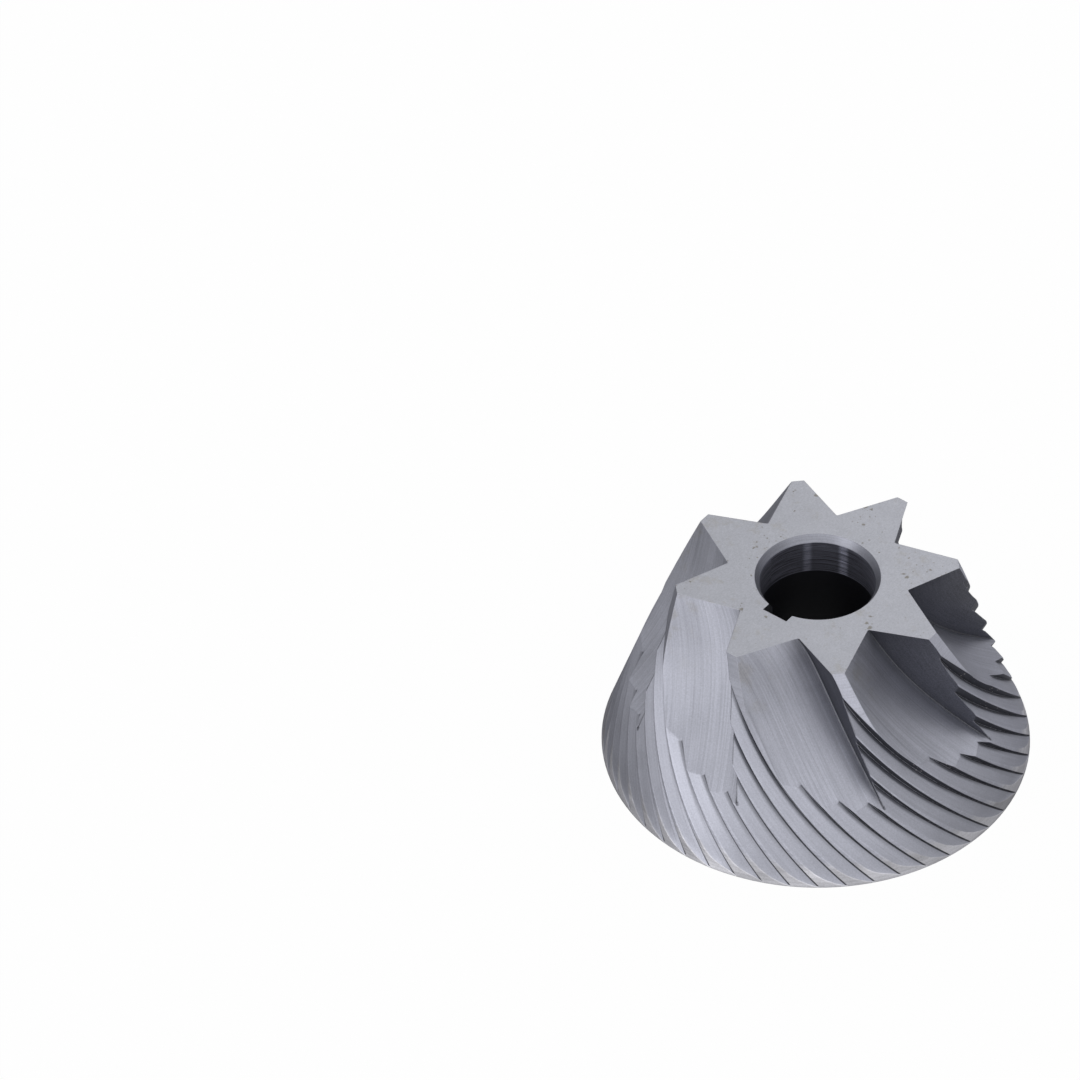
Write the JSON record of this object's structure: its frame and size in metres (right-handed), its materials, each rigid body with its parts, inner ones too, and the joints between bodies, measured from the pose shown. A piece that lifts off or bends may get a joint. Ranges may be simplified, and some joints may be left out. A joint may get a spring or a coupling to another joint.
{
  "type": "conical coffee grinder burr",
  "caption": "Inner cone burr with helical feed blades above fine saw-form teeth, a star-shaped top face and a keyed through bore",
  "frame": {"origin": "centre of the large flat base face, on the bore axis", "axes": "+Z along the bore axis, from the base to the star-shaped face; the keyway opens towards -Y"},
  "size_m": [0.045, 0.045, 0.023],
  "materials": {
    "ground_steel": "milled and ground tool steel, satin"
  },
  "bodies": {
    "root": {"grinding_burr": "ground_steel"}
  },
  "joints": []
}
